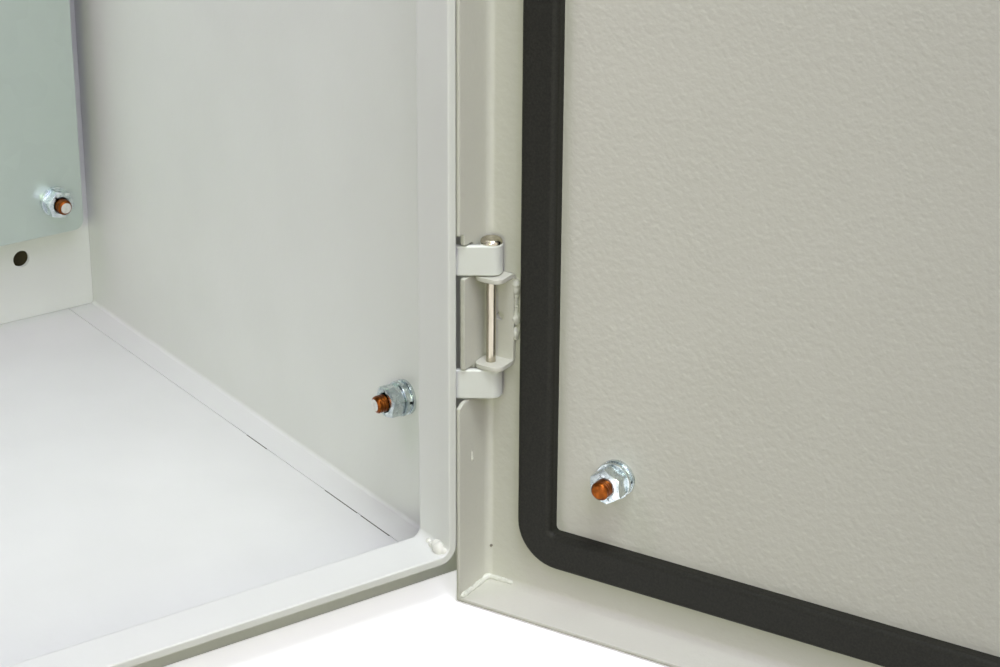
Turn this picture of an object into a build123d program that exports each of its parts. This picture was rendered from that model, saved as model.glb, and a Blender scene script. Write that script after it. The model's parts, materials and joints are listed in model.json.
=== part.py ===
from build123d import *
import os
from math import cos, radians, sin

# Sheet-steel cabinet, in millimetres. The origin is the middle of the flat underside,
# +X is to the right of someone who faces the door, +Y is towards the rear, +Z is up.
# The door is drawn closed and is then turned about its hinge pins to stand open.

# Overall, over the closed door
cabinet_width = 500.0
cabinet_height = 600.0
cabinet_depth = 300.0

# Folded sheet
sheet = 1.5
wall_bend = 1.5
front_bend = 1.0
weld_gap = 0.1

# Rain gutter and lip round the opening
side_gutter = 22.0
base_gutter = 18.5
lip_depth = 17.0
lip_thickness = 2 * sheet
lip_nose_radius = 0.6
lip_corner_radius = 3.0
hem_end_gap = 1.5

# Closing seam of the folded strip, in the floor
seam_from_wall = 11.5
seam_width = 0.5
seam_depth = 0.3

# Door tray
door_sheet = 1.5
door_flange = 16.6
seal_gap = 4.8
door_edge_gap = 0.3
door_bend = 2.5
open_angle = 113.0

# Door gasket, laid on the inner face
gasket_width = 12.4
gasket_height = 4.5
gasket_from_side = 13.4
gasket_from_end = 12.3
gasket_corner_radius = 14.3
gasket_inner_radius = 1.5
gasket_edge_radius = 2.0

# Hinges, two alike
pin_from_side = 5.8
pin_behind_lip = 0.5
pin_radius = 1.5
pin_play = 0.05
pin_head_radius = 3.45
pin_head_height = 1.6
pin_head_dome = 1.4
pin_tail = 0.8
hinge_height = 95.6
leaf_thickness = 2.0
knuckle_radius = 3.6
knuckle_length = 9.9
knuckle_space = 31.2
knuckle_edge = 0.7
arm_angle = 35.4
leaf_leg_end = 14.0
bracket_sheet = 1.5
bracket_play = 0.3
bracket_edge_gap = 0.3
bracket_width = 9.8
bracket_ear = 10.0
bracket_nose_radius = 3.0
bracket_hole_radius = 1.3

# Cuts in the door flange at each hinge
notch_depth = 2.7
notch_lead = 1.5
notch_above_knuckle = 4.3
slot_play = 0.5
slot_past_pin = 3.4

# Fastener sizes: coarse 6 mm thread and its washers and nuts
stud_radius = 3.0
thread_play = 0.05
stud_chamfer = 0.6
nut_across_flats = 10.0
nut_height = 5.0
washer_radius = 6.0
washer_thickness = 1.6

# Earth studs on the right wall and on the door, each with washers and a nut
earth_stud_length = 12.8
earth_washer_thickness = 1.2
spring_washer_radius = 5.4
spring_washer_thickness = 1.4
spring_washer_slit = 0.9
body_earth_from_gutter = 38.3
body_earth_height = 47.8
door_earth_from_side = 49.0
door_earth_height = 50.6

# Rear panel and mounting plate
wall_hole_radius = 3.5
wall_hole_from_side = 32.0
wall_hole_from_end = 27.5
plate_sheet = 2.0
plate_stand_off = 18.0
plate_from_side = 13.0
plate_from_end = 43.0
plate_hole_from_side = 12.0
plate_hole_from_end = 14.0
plate_corner_radius = 4.0
plate_stud_past_nut = 4.0

# Gland plate over the cable opening in the floor
gland_opening_length = 160.0
gland_opening_width = 80.0
gland_opening_corner = 5.0
gland_rim = 20.0
gland_centre_x = -110.0
gland_sheet = 2.0
gland_seal_thickness = 2.0
gland_stud_radius = 2.5
gland_stud_past_nut = 2.0
gland_nut_across_flats = 8.0
gland_nut_height = 4.0

# Quarter-turn locks, two alike, near the free side of the door
lock_from_side = 56.0
lock_from_end = 150.0
lock_head_radius = 14.0
lock_head_thickness = 4.0
lock_head_edge = 1.2
lock_body_radius = 11.0
lock_body_play = 0.2
lock_body_length = 20.0
lock_seal_thickness = 1.0
lock_seal_radius = 13.0
lock_nut_across_flats = 27.0
lock_nut_thickness = 5.0
spindle_head_radius = 7.0
spindle_head_length = 6.0
spindle_head_recess = 1.5
spindle_radius = 5.0
spindle_square = 7.0
key_recess_radius = 4.2
key_recess_depth = 4.0
key_bit_radius = 1.6
key_bit_length = 6.4
key_bit_width = 1.8
cam_thickness = 3.0
cam_width = 18.0
cam_reach = 45.0
cam_play = 0.4
cam_screw_radius = 2.5
cam_screw_depth = 8.0
cam_screw_across_flats = 8.0
cam_screw_head = 3.5

# Places worked out from the sizes above
body_depth = cabinet_depth - lip_depth - seal_gap - door_sheet
back_y = body_depth / 2
gutter_y = -body_depth / 2
lip_y = gutter_y - lip_depth
door_inner_y = lip_y - seal_gap
door_outer_y = door_inner_y - door_sheet
side_x = cabinet_width / 2
middle_z = cabinet_height / 2
lip_inner_x = side_x - side_gutter
lip_outer_x = lip_inner_x + lip_thickness
opening_width = cabinet_width - 2 * side_gutter
opening_height = cabinet_height - 2 * base_gutter
door_height = cabinet_height - 2 * door_edge_gap
flange_inner_x = side_x - door_sheet
flange_edge_y = door_inner_y + door_flange
pin_x = side_x - pin_from_side
pin_y = lip_y + pin_behind_lip
hinge_heights = (hinge_height, cabinet_height - hinge_height)
hinge_length = 2 * knuckle_length + knuckle_space
hinge_axis = Axis((pin_x, pin_y, 0), (0, 0, 1))
plate_rear_y = back_y - sheet - plate_stand_off
plate_front_y = plate_rear_y - plate_sheet
lock_x = -side_x + lock_from_side
lock_heights = (lock_from_end, cabinet_height - lock_from_end)
lock_head_y = door_outer_y - lock_seal_thickness
cam_front_y = gutter_y + sheet + cam_play

os.makedirs("parts", exist_ok=True)


def facing_front(y, x=0.0, z=middle_z):
    """Plane at depth y whose normal points to the front, with its x to the right and its y up."""
    return Plane(origin=(x, y, z), x_dir=(1, 0, 0), z_dir=(0, -1, 0))


def facing_rear(y, x, z):
    """Plane at depth y whose normal points to the rear, with its y up."""
    return Plane(origin=(x, y, z), x_dir=(-1, 0, 0), z_dir=(0, 1, 0))


def facing_left(x, y, z):
    """Plane at x whose normal points to the left, with its y up."""
    return Plane(origin=(x, y, z), x_dir=(0, -1, 0), z_dir=(-1, 0, 0))


def save(piece, name, turned_by=0.0):
    """Label one finished piece, turn it about the hinge if it hangs on the door, and write it."""
    placed = piece.part.rotate(hinge_axis, turned_by)
    placed.label = name
    export_step(placed, f"parts/{name}.step")


def edges_at(piece, y):
    """Edges of a piece that lie in the plane at depth y."""
    return piece.edges().filter_by_position(Axis.Y, y - 0.01, y + 0.01)


# Body: walls, gutter and lip are one folded and welded strip
with BuildPart() as body_wrap:
    with BuildSketch(facing_front(back_y)):
        RectangleRounded(cabinet_width, cabinet_height, wall_bend + sheet)
    extrude(amount=body_depth)
    fillet(edges_at(body_wrap, gutter_y), front_bend + sheet)
    with BuildSketch(facing_front(back_y)):
        RectangleRounded(cabinet_width - 2 * sheet, cabinet_height - 2 * sheet, wall_bend)
    extrude(amount=body_depth - sheet, mode=Mode.SUBTRACT)
    fillet(edges_at(body_wrap, gutter_y + sheet), front_bend)

    # Lip: a hemmed collar that stands forward from the gutter
    with BuildSketch(facing_front(gutter_y + sheet)):
        RectangleRounded(
            opening_width + 2 * lip_thickness,
            opening_height + 2 * lip_thickness,
            lip_corner_radius + lip_thickness,
        )
    extrude(amount=lip_depth + sheet)
    with BuildSketch(facing_front(gutter_y + sheet)):
        RectangleRounded(opening_width, opening_height, lip_corner_radius)
    extrude(amount=lip_depth + sheet, mode=Mode.SUBTRACT)
    fillet(edges_at(body_wrap, lip_y), lip_nose_radius)
    rim = edges_at(body_wrap, gutter_y + sheet).filter_by_position(
        Axis.X, -lip_inner_x - 0.01, lip_inner_x + 0.01
    )
    fillet(rim, front_bend + sheet)

    # The hem's return ends just short of the gutter
    with BuildSketch(facing_front(gutter_y)):
        RectangleRounded(
            opening_width + 2 * lip_thickness,
            opening_height + 2 * lip_thickness,
            lip_corner_radius + lip_thickness,
        )
        RectangleRounded(
            opening_width + 2 * sheet,
            opening_height + 2 * sheet,
            lip_corner_radius + sheet,
            mode=Mode.SUBTRACT,
        )
    extrude(amount=hem_end_gap, mode=Mode.SUBTRACT)

    # Closing seam along the floor, and the cable opening
    seam_start = gutter_y + sheet + front_bend
    with BuildSketch(Plane.XY.offset(sheet)):
        with Locations((side_x - sheet - seam_from_wall, seam_start)):
            Rectangle(seam_width, back_y - seam_start, align=(Align.CENTER, Align.MIN))
    extrude(amount=-seam_depth, mode=Mode.SUBTRACT)
    with BuildSketch(Plane.XY):
        with Locations((gland_centre_x, 0)):
            RectangleRounded(gland_opening_length, gland_opening_width, gland_opening_corner)
    extrude(amount=sheet, mode=Mode.SUBTRACT)
save(body_wrap, "body_wrap")

# Rear panel, welded inside the strip, with a wall-fixing hole in each corner
with BuildPart() as rear_panel:
    with BuildSketch(facing_front(back_y)):
        RectangleRounded(
            cabinet_width - 2 * (sheet + weld_gap),
            cabinet_height - 2 * (sheet + weld_gap),
            wall_bend,
        )
        with GridLocations(
            cabinet_width - 2 * wall_hole_from_side, cabinet_height - 2 * wall_hole_from_end, 2, 2
        ):
            Circle(wall_hole_radius, mode=Mode.SUBTRACT)
    extrude(amount=sheet)
save(rear_panel, "rear_panel")


# Mounting plate on four welded studs, each with a nut behind the plate and one in front
plate_width = cabinet_width - 2 * plate_from_side
plate_height = cabinet_height - 2 * plate_from_end
plate_hole_spacing = (plate_width - 2 * plate_hole_from_side, plate_height - 2 * plate_hole_from_end)
plate_washer_y = plate_front_y - washer_thickness
plate_stud_length = (
    plate_stand_off + plate_sheet + washer_thickness + nut_height + plate_stud_past_nut
)


def at_plate_holes():
    """The four fixing points of the mounting plate."""
    return GridLocations(*plate_hole_spacing, 2, 2)


def hexagon(across_flats):
    """Draw a hexagon by its width across flats."""
    RegularPolygon(across_flats / 2, 6, major_radius=False)


with BuildPart() as mounting_plate:
    with BuildSketch(facing_front(plate_rear_y)):
        RectangleRounded(plate_width, plate_height, plate_corner_radius)
        with at_plate_holes():
            Circle(stud_radius + slot_play, mode=Mode.SUBTRACT)
    extrude(amount=plate_sheet)
save(mounting_plate, "mounting_plate")

with BuildPart() as plate_studs:
    with BuildSketch(facing_front(back_y - sheet)):
        with at_plate_holes():
            Circle(stud_radius)
    extrude(amount=plate_stud_length)
save(plate_studs, "plate_studs")


def plate_nut(rear_y):
    """Four nuts on the plate studs, with their rear faces at one depth."""
    with BuildPart() as nuts:
        with BuildSketch(facing_front(rear_y)):
            with at_plate_holes():
                hexagon(nut_across_flats)
                Circle(stud_radius + thread_play, mode=Mode.SUBTRACT)
        extrude(amount=nut_height)
    return nuts


save(plate_nut(plate_rear_y + nut_height), "plate_back_nuts")
save(plate_nut(plate_washer_y), "plate_front_nuts")

with BuildPart() as plate_washers:
    with BuildSketch(facing_front(plate_front_y)):
        with at_plate_holes():
            Circle(washer_radius)
            Circle(stud_radius + thread_play, mode=Mode.SUBTRACT)
    extrude(amount=washer_thickness)
save(plate_washers, "plate_washers")

# Gland plate on its seal, over the cable opening, held by nuts on six welded studs
gland_length = gland_opening_length + 2 * gland_rim
gland_width = gland_opening_width + 2 * gland_rim
gland_seal_z = sheet
gland_plate_z = gland_seal_z + gland_seal_thickness
gland_nut_z = gland_plate_z + gland_sheet
gland_stud_length = gland_seal_thickness + gland_sheet + gland_nut_height + gland_stud_past_nut


def at_gland_studs():
    """The six fixing points round the cable opening."""
    return GridLocations((gland_length - gland_rim) / 2, gland_width - gland_rim, 3, 2)


with BuildPart() as gland_seal:
    with BuildSketch(Plane.XY.offset(gland_seal_z)):
        with Locations((gland_centre_x, 0)):
            RectangleRounded(gland_length, gland_width, gland_opening_corner)
            RectangleRounded(
                gland_opening_length, gland_opening_width, gland_opening_corner, mode=Mode.SUBTRACT
            )
            with at_gland_studs():
                Circle(gland_stud_radius + slot_play, mode=Mode.SUBTRACT)
    extrude(amount=gland_seal_thickness)
save(gland_seal, "gland_seal")

with BuildPart() as gland_plate:
    with BuildSketch(Plane.XY.offset(gland_plate_z)):
        with Locations((gland_centre_x, 0)):
            RectangleRounded(gland_length, gland_width, gland_opening_corner)
            with at_gland_studs():
                Circle(gland_stud_radius + slot_play, mode=Mode.SUBTRACT)
    extrude(amount=gland_sheet)
save(gland_plate, "gland_plate")

with BuildPart() as gland_studs:
    with BuildSketch(Plane.XY.offset(gland_seal_z)):
        with Locations((gland_centre_x, 0)):
            with at_gland_studs():
                Circle(gland_stud_radius)
    extrude(amount=gland_stud_length)
save(gland_studs, "gland_studs")

with BuildPart() as gland_nuts:
    with BuildSketch(Plane.XY.offset(gland_nut_z)):
        with Locations((gland_centre_x, 0)):
            with at_gland_studs():
                hexagon(gland_nut_across_flats)
                Circle(gland_stud_radius + thread_play, mode=Mode.SUBTRACT)
    extrude(amount=gland_nut_height)
save(gland_nuts, "gland_nuts")


# Hinge leaf of the body: a leg on the gutter side of the lip, and two arms that end in knuckles
def arm_point(along, forward):
    """A point by its distance along the arm from the pin, and by its distance in front of it."""
    turn = radians(arm_angle)
    x = pin_x + along * cos(turn) - forward * sin(turn)
    y = pin_y - along * sin(turn) - forward * cos(turn)
    return (x, y)


def arm_corner(x, forward):
    """The point where a line in front of the pin, along the arm, reaches the given x."""
    turn = radians(arm_angle)
    along = (x - pin_x + forward * sin(turn)) / cos(turn)
    return arm_point(along, forward)


def hinge_leaf(middle):
    """One body leaf, its knuckles centred on a height."""
    low = middle - hinge_length / 2
    inner_front = knuckle_radius - leaf_thickness
    leg_x = lip_outer_x + leaf_thickness
    leg_end_y = lip_y + leaf_leg_end
    outer_corner = arm_corner(lip_outer_x, knuckle_radius)
    inner_corner = arm_corner(leg_x, inner_front)
    with BuildPart() as leaf:
        with BuildSketch(Plane.XY.offset(low)):
            with Locations(((lip_outer_x + leg_x) / 2, leg_end_y)):
                Rectangle(leaf_thickness, leg_end_y - inner_corner[1], align=(Align.CENTER, Align.MAX))
        extrude(amount=hinge_length)
        for knuckle_z in (low, low + knuckle_length + knuckle_space):
            with BuildSketch(Plane.XY.offset(knuckle_z)) as arm:
                Polygon(
                    (lip_outer_x, leg_end_y),
                    outer_corner,
                    arm_point(0, knuckle_radius),
                    arm_point(0, inner_front),
                    inner_corner,
                    (leg_x, leg_end_y),
                    align=None,
                )
                bend = arm.vertices().sort_by_distance(outer_corner)[0]
                fillet(bend, leaf_thickness + front_bend)
                with Locations((pin_x, pin_y)):
                    Circle(knuckle_radius)
            extrude(amount=knuckle_length)
            for end_z in (knuckle_z, knuckle_z + knuckle_length):
                rims = leaf.edges().filter_by_position(Axis.Z, end_z - 0.01, end_z + 0.01)
                fillet(rims.filter_by_position(Axis.Y, -cabinet_depth, inner_corner[1] - 0.1), knuckle_edge)
        with BuildSketch(Plane.XY.offset(low)):
            with Locations((pin_x, pin_y)):
                Circle(pin_radius + pin_play)
        extrude(amount=hinge_length, mode=Mode.SUBTRACT)
    return leaf


def hinge_pin(middle):
    """One pin: a plain shaft with a domed head that rests on the upper knuckle."""
    top = middle + hinge_length / 2
    with BuildPart() as pin:
        with BuildSketch(Plane.XY.offset(top)):
            with Locations((pin_x, pin_y)):
                Circle(pin_head_radius)
        extrude(amount=pin_head_height)
        fillet(pin.edges().group_by(Axis.Z)[-1], pin_head_dome)
        with BuildSketch(Plane.XY.offset(top)):
            with Locations((pin_x, pin_y)):
                Circle(pin_radius)
        extrude(amount=-hinge_length - pin_tail)
    return pin


# Hinge bracket of the door: a U folded from strip, welded into the corner of the tray
def hinge_bracket(middle):
    """One door bracket, its ears just inside the two knuckles."""
    height = knuckle_space - 2 * bracket_play
    plate_x = flange_inner_x - bracket_edge_gap - bracket_width / 2
    nose_y = door_inner_y + bracket_ear
    with BuildPart() as bracket:
        with BuildSketch(Plane.XY.offset(middle - height / 2)):
            with Locations((plate_x, door_inner_y)):
                Rectangle(bracket_width, bracket_ear, align=(Align.CENTER, Align.MIN))
        extrude(amount=height)
        fillet(
            bracket.edges().filter_by(Axis.X).filter_by_position(
                Axis.Y, door_inner_y - 0.01, door_inner_y + 0.01
            ),
            bracket_sheet + front_bend,
        )
        with BuildSketch(facing_rear(door_inner_y + bracket_sheet, plate_x, middle)):
            Rectangle(bracket_width, height - 2 * bracket_sheet)
        extrude(amount=bracket_ear, mode=Mode.SUBTRACT)
        nose = bracket.edges().filter_by(Axis.Z).filter_by_position(Axis.Y, nose_y - 0.01, nose_y + 0.01)
        fillet(nose, bracket_nose_radius)
        with BuildSketch(Plane.XY.offset(middle - height / 2)):
            with Locations((pin_x, pin_y)):
                Circle(pin_radius + pin_play)
        extrude(amount=height, mode=Mode.SUBTRACT)
        # The side next to the flange is ground round, to sit in the bend of the tray
        with BuildSketch(Plane.XY.offset(middle - height / 2)):
            with Locations((flange_inner_x - bracket_edge_gap - door_bend, door_inner_y + door_bend)):
                Rectangle(door_bend, door_bend, align=(Align.MIN, Align.MAX))
                Circle(door_bend, mode=Mode.SUBTRACT)
        extrude(amount=height, mode=Mode.SUBTRACT)
        with BuildSketch(facing_rear(door_inner_y, plate_x, middle)):
            Circle(bracket_hole_radius)
        extrude(amount=bracket_sheet, mode=Mode.SUBTRACT)
    return bracket


for place, middle in zip(("lower", "upper"), hinge_heights):
    save(hinge_leaf(middle), f"hinge_leaf_{place}")
    save(hinge_pin(middle), f"hinge_pin_{place}")
    save(hinge_bracket(middle), f"hinge_bracket_{place}", open_angle)


# Earth studs: each is a welded stud with a spring washer between two flat washers, and a nut
def earth_point(base, owner, turned_by):
    """Write the pieces of one earth point on a base plane whose normal is the stud's axis."""
    hole_radius = stud_radius + thread_play
    with BuildPart() as stud:
        with BuildSketch(base):
            Circle(stud_radius)
        extrude(amount=earth_stud_length)
        tip = stud.edges().filter_by(GeomType.CIRCLE).sort_by_distance(base.origin)[-1]
        chamfer(tip, stud_chamfer)
    save(stud, f"{owner}_earth_stud", turned_by)

    spring_base = base.offset(earth_washer_thickness)
    upper_base = spring_base.offset(spring_washer_thickness)
    nut_base = upper_base.offset(earth_washer_thickness)
    with BuildPart() as washers:
        for washer_base in (base, upper_base):
            with BuildSketch(washer_base):
                Circle(washer_radius)
                Circle(hole_radius, mode=Mode.SUBTRACT)
            extrude(amount=earth_washer_thickness)
    save(washers, f"{owner}_earth_washers", turned_by)

    with BuildPart() as spring_washer:
        with BuildSketch(spring_base):
            Circle(spring_washer_radius)
            Circle(hole_radius, mode=Mode.SUBTRACT)
            Rectangle(
                spring_washer_radius,
                spring_washer_slit,
                align=(Align.MIN, Align.CENTER),
                mode=Mode.SUBTRACT,
            )
        extrude(amount=spring_washer_thickness)
    save(spring_washer, f"{owner}_earth_spring_washer", turned_by)

    with BuildPart() as nut:
        with BuildSketch(nut_base):
            hexagon(nut_across_flats)
            Circle(hole_radius, mode=Mode.SUBTRACT)
        extrude(amount=nut_height)
    save(nut, f"{owner}_earth_nut", turned_by)


body_earth_y = gutter_y + body_earth_from_gutter
door_earth_x = side_x - door_earth_from_side
earth_point(facing_left(side_x - sheet, body_earth_y, body_earth_height), "body", 0.0)
earth_point(facing_rear(door_inner_y, door_earth_x, door_earth_height), "door", open_angle)

# Door: a folded tray, notched for the hinges and bored for the locks
with BuildPart() as door_panel:
    with BuildSketch(facing_rear(door_outer_y, 0, middle_z)):
        Rectangle(cabinet_width, door_height)
    extrude(amount=door_sheet + door_flange)
    fillet(edges_at(door_panel, door_outer_y), door_bend + door_sheet)
    with BuildSketch(facing_rear(door_inner_y, 0, middle_z)):
        Rectangle(cabinet_width - 2 * door_sheet, door_height - 2 * door_sheet)
    extrude(amount=door_flange, mode=Mode.SUBTRACT)
    fillet(edges_at(door_panel, door_inner_y), door_bend)

    for middle in hinge_heights:
        # A shallow notch with a slanted lower end lets the leaf pass, and deeper slots clear its arms
        notch_low = middle - hinge_length / 2 - slot_play
        notch_high = middle + hinge_length / 2 + notch_above_knuckle
        with BuildSketch(Plane.YZ.offset(flange_inner_x - door_bend)):
            with Locations((flange_edge_y, notch_low)):
                Rectangle(notch_depth, notch_high - notch_low, align=(Align.MAX, Align.MIN))
                Polygon((0, 0), (-notch_depth, 0), (0, -notch_lead), align=None)
            for knuckle_middle in (
                middle - (knuckle_space + knuckle_length) / 2,
                middle + (knuckle_space + knuckle_length) / 2,
            ):
                with Locations((flange_edge_y, knuckle_middle)):
                    Rectangle(
                        flange_edge_y - pin_y - slot_past_pin,
                        knuckle_length + 2 * slot_play,
                        align=(Align.MAX, Align.CENTER),
                    )
        extrude(amount=door_bend + door_sheet, mode=Mode.SUBTRACT)

    for lock_z in lock_heights:
        with BuildSketch(facing_rear(door_outer_y, lock_x, lock_z)):
            Circle(lock_body_radius + lock_body_play)
        extrude(amount=door_sheet, mode=Mode.SUBTRACT)
save(door_panel, "door_panel", open_angle)

# Gasket: a soft strip on the door that meets the lip
gasket_length_x = cabinet_width - 2 * (door_sheet + gasket_from_side)
gasket_length_z = door_height - 2 * (door_sheet + gasket_from_end)
with BuildPart() as door_gasket:
    with BuildSketch(facing_rear(door_inner_y, 0, middle_z)):
        RectangleRounded(gasket_length_x, gasket_length_z, gasket_corner_radius)
        RectangleRounded(
            gasket_length_x - 2 * gasket_width,
            gasket_length_z - 2 * gasket_width,
            gasket_inner_radius,
            mode=Mode.SUBTRACT,
        )
    extrude(amount=gasket_height)
    fillet(edges_at(door_gasket, door_inner_y + gasket_height), gasket_edge_radius)
save(door_gasket, "door_gasket", open_angle)


# Quarter-turn locks: the housing is clamped in the door, and the spindle turns a cam
def lock(place, lock_z):
    """Write the pieces of one lock at a height."""
    front = facing_rear(lock_head_y - lock_head_thickness, lock_x, lock_z)
    seat = facing_rear(lock_head_y, lock_x, lock_z)
    spindle_front = front.offset(spindle_head_recess)
    spindle_shoulder = spindle_front.offset(spindle_head_length)
    cam_seat = facing_rear(cam_front_y, lock_x, lock_z)
    cam_rear = cam_seat.offset(cam_thickness)
    shoulder_length = cam_front_y - spindle_shoulder.origin.Y

    with BuildPart() as housing:
        with BuildSketch(front):
            Circle(lock_head_radius)
        extrude(amount=lock_head_thickness)
        fillet(edges_at(housing, front.origin.Y), lock_head_edge)
        with BuildSketch(seat):
            Circle(lock_body_radius)
        extrude(amount=lock_body_length)
        with BuildSketch(front):
            Circle(spindle_head_radius + pin_play)
        extrude(amount=spindle_head_recess + spindle_head_length, mode=Mode.SUBTRACT)
        with BuildSketch(front):
            Circle(spindle_radius + pin_play)
        extrude(amount=lock_head_thickness + lock_body_length, mode=Mode.SUBTRACT)
    save(housing, f"lock_housing_{place}", open_angle)

    with BuildPart() as seal:
        with BuildSketch(seat):
            Circle(lock_seal_radius)
            Circle(lock_body_radius + lock_body_play, mode=Mode.SUBTRACT)
        extrude(amount=lock_seal_thickness)
    save(seal, f"lock_seal_{place}", open_angle)

    with BuildPart() as lock_nut:
        with BuildSketch(facing_rear(door_inner_y, lock_x, lock_z)):
            hexagon(lock_nut_across_flats)
            Circle(lock_body_radius + thread_play, mode=Mode.SUBTRACT)
        extrude(amount=lock_nut_thickness)
    save(lock_nut, f"lock_nut_{place}", open_angle)

    with BuildPart() as spindle:
        with BuildSketch(spindle_front):
            Circle(spindle_head_radius)
        extrude(amount=spindle_head_length)
        with BuildSketch(spindle_shoulder):
            Circle(spindle_radius)
        extrude(amount=shoulder_length)
        with BuildSketch(cam_seat):
            Rectangle(spindle_square, spindle_square)
        extrude(amount=cam_thickness)
        with BuildSketch(spindle_front):
            Circle(key_recess_radius)
            Circle(key_bit_radius, mode=Mode.SUBTRACT)
            Rectangle(key_bit_length, key_bit_width, mode=Mode.SUBTRACT)
        extrude(amount=key_recess_depth, mode=Mode.SUBTRACT)
        with BuildSketch(cam_rear):
            Circle(cam_screw_radius + thread_play)
        extrude(amount=-cam_screw_depth, mode=Mode.SUBTRACT)
    save(spindle, f"lock_spindle_{place}", open_angle)

    with BuildPart() as cam:
        with BuildSketch(cam_seat):
            SlotCenterPoint((0, (cam_width / 2 - cam_reach) / 2), (0, cam_width / 2 - cam_reach), cam_width)
            Rectangle(
                spindle_square + 2 * thread_play, spindle_square + 2 * thread_play, mode=Mode.SUBTRACT
            )
        extrude(amount=cam_thickness)
    save(cam, f"lock_cam_{place}", open_angle)

    with BuildPart() as cam_screw:
        with BuildSketch(cam_rear):
            hexagon(cam_screw_across_flats)
        extrude(amount=cam_screw_head)
        with BuildSketch(cam_rear):
            Circle(cam_screw_radius)
        extrude(amount=thread_play - cam_screw_depth)
    save(cam_screw, f"lock_cam_screw_{place}", open_angle)


for place, lock_z in zip(("lower", "upper"), lock_heights):
    lock(place, lock_z)
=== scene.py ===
"""Looks of a roadside utility cabinet: powder-coated sheet steel with its seal, hinges and earth points.

The frame gives the solids, which keep their places. This script dresses them, and adds what is too
fine for them: screw threads, nut chamfers, weld beads and the small faults of the paint.
"""
from __future__ import annotations

import json
import logging
import math
import random
from dataclasses import dataclass
from enum import Enum
from typing import Iterable, Sequence

import bmesh
import bpy
from mathutils import Matrix, Vector

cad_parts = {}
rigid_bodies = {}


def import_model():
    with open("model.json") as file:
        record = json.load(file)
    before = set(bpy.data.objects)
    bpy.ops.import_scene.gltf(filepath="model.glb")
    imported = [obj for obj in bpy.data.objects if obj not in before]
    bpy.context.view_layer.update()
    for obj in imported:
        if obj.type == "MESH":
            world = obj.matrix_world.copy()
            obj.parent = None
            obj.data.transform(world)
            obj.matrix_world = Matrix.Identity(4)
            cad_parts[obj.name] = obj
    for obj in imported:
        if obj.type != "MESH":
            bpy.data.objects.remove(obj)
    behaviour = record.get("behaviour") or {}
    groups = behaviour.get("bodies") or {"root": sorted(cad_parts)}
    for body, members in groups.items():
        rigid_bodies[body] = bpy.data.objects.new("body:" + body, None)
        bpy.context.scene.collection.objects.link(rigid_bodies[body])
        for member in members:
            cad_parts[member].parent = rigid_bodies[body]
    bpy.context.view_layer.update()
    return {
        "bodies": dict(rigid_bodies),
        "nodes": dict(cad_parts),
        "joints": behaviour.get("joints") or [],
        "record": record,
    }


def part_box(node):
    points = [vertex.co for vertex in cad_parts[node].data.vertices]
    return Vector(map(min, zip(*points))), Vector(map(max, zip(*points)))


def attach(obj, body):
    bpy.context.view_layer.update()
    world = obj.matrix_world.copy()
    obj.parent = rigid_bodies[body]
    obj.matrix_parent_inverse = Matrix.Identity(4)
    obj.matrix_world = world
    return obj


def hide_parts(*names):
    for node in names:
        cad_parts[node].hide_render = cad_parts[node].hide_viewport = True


MM = 0.001
# points of a thread nearer than this are merged, and faces nearer than this to its tip are the tip
CLOSE = 0.01 * MM
# points nearer than this are the same point
SAME = 0.001 * MM
# angle of an edge in degrees above which it stays crisp, and above which it is rounded first
CRISP = 32.0
ROUNDED = 35.0
LOG = logging.getLogger("cabinet")
# rounding of the edges that the solids leave sharp, in millimetres
EDGES = {
    "hinge_bracket": 0.3,
    "hinge_leaf": 0.3,
    "mounting_plate": 0.25,
    "plate_washers": 0.25,
    "body_earth_washers": 0.25,
    "door_earth_washers": 0.25,
    "body_earth_spring_washer": 0.2,
    "door_earth_spring_washer": 0.2,
    "lock_housing": 0.4,
    "lock_nut": 0.6,
    "lock_cam": 0.4,
    "lock_cam_screw": 0.3,
    "lock_spindle": 0.3,
    "gland_plate": 0.25,
    "door_panel": 0.5,
}
# weld spots in a corner of the lip, in millimetres: how far sideways towards the middle of the
# opening, how far behind the lip's front, how far up or down towards the middle, and the radius
LIP_SPOTS = (
    (0.0, 2.1, 0.0, 1.5),
    (0.8, 3.8, 0.5, 2.2),
    (0.3, 5.9, 0.6, 2.0),
    (0.0, 8.0, 0.0, 1.5),
    (0.0, 10.6, 0.0, 1.1),
)
# weld spots along a hinge bracket, in millimetres: height over the middle of the hinge, and radius
BRACKET_SPOTS = (
    (12.0, 1.0), (11.2, 1.4), (10.3, 1.5), (9.4, 1.4), (8.6, 1.1), (7.6, 0.9),
    (6.4, 0.8), (5.2, 0.8), (4.0, 0.8), (2.8, 0.8), (1.6, 0.8), (0.7, 1.0),
    (-0.2, 1.35), (-1.0, 1.2), (-3.6, 0.9), (-4.5, 1.15), (-5.4, 1.15), (-6.4, 0.9),
)
# open stretches of the floor seam: where each starts and ends along Y, in millimetres
OPEN_SEAM = ((-24.3, -10.0), (-106.0, -88.0), (-85.5, -64.6))
# unevenness of a lump: how far it is squashed, and the height and steepness of its waves
LUMP_SQUASH = 0.3
LUMP_WAVE = 0.06
LUMP_STEEPNESS = 1.6


class Body(Enum):
    """The bodies that pieces ride on."""

    CABINET = "cabinet"
    DOOR = "door"


class Slot(Enum):
    """The record's material slots."""

    PAINT = "grey_powder_coat"
    ZINC = "zinc_plated_steel"
    COPPER = "copper_plated_steel"
    BRIGHT = "bright_steel"
    CAST = "satin_die_cast"
    GALVANISED = "galvanised_sheet"
    GASKET = "foamed_gasket"
    RUBBER = "seal_rubber"


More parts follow.
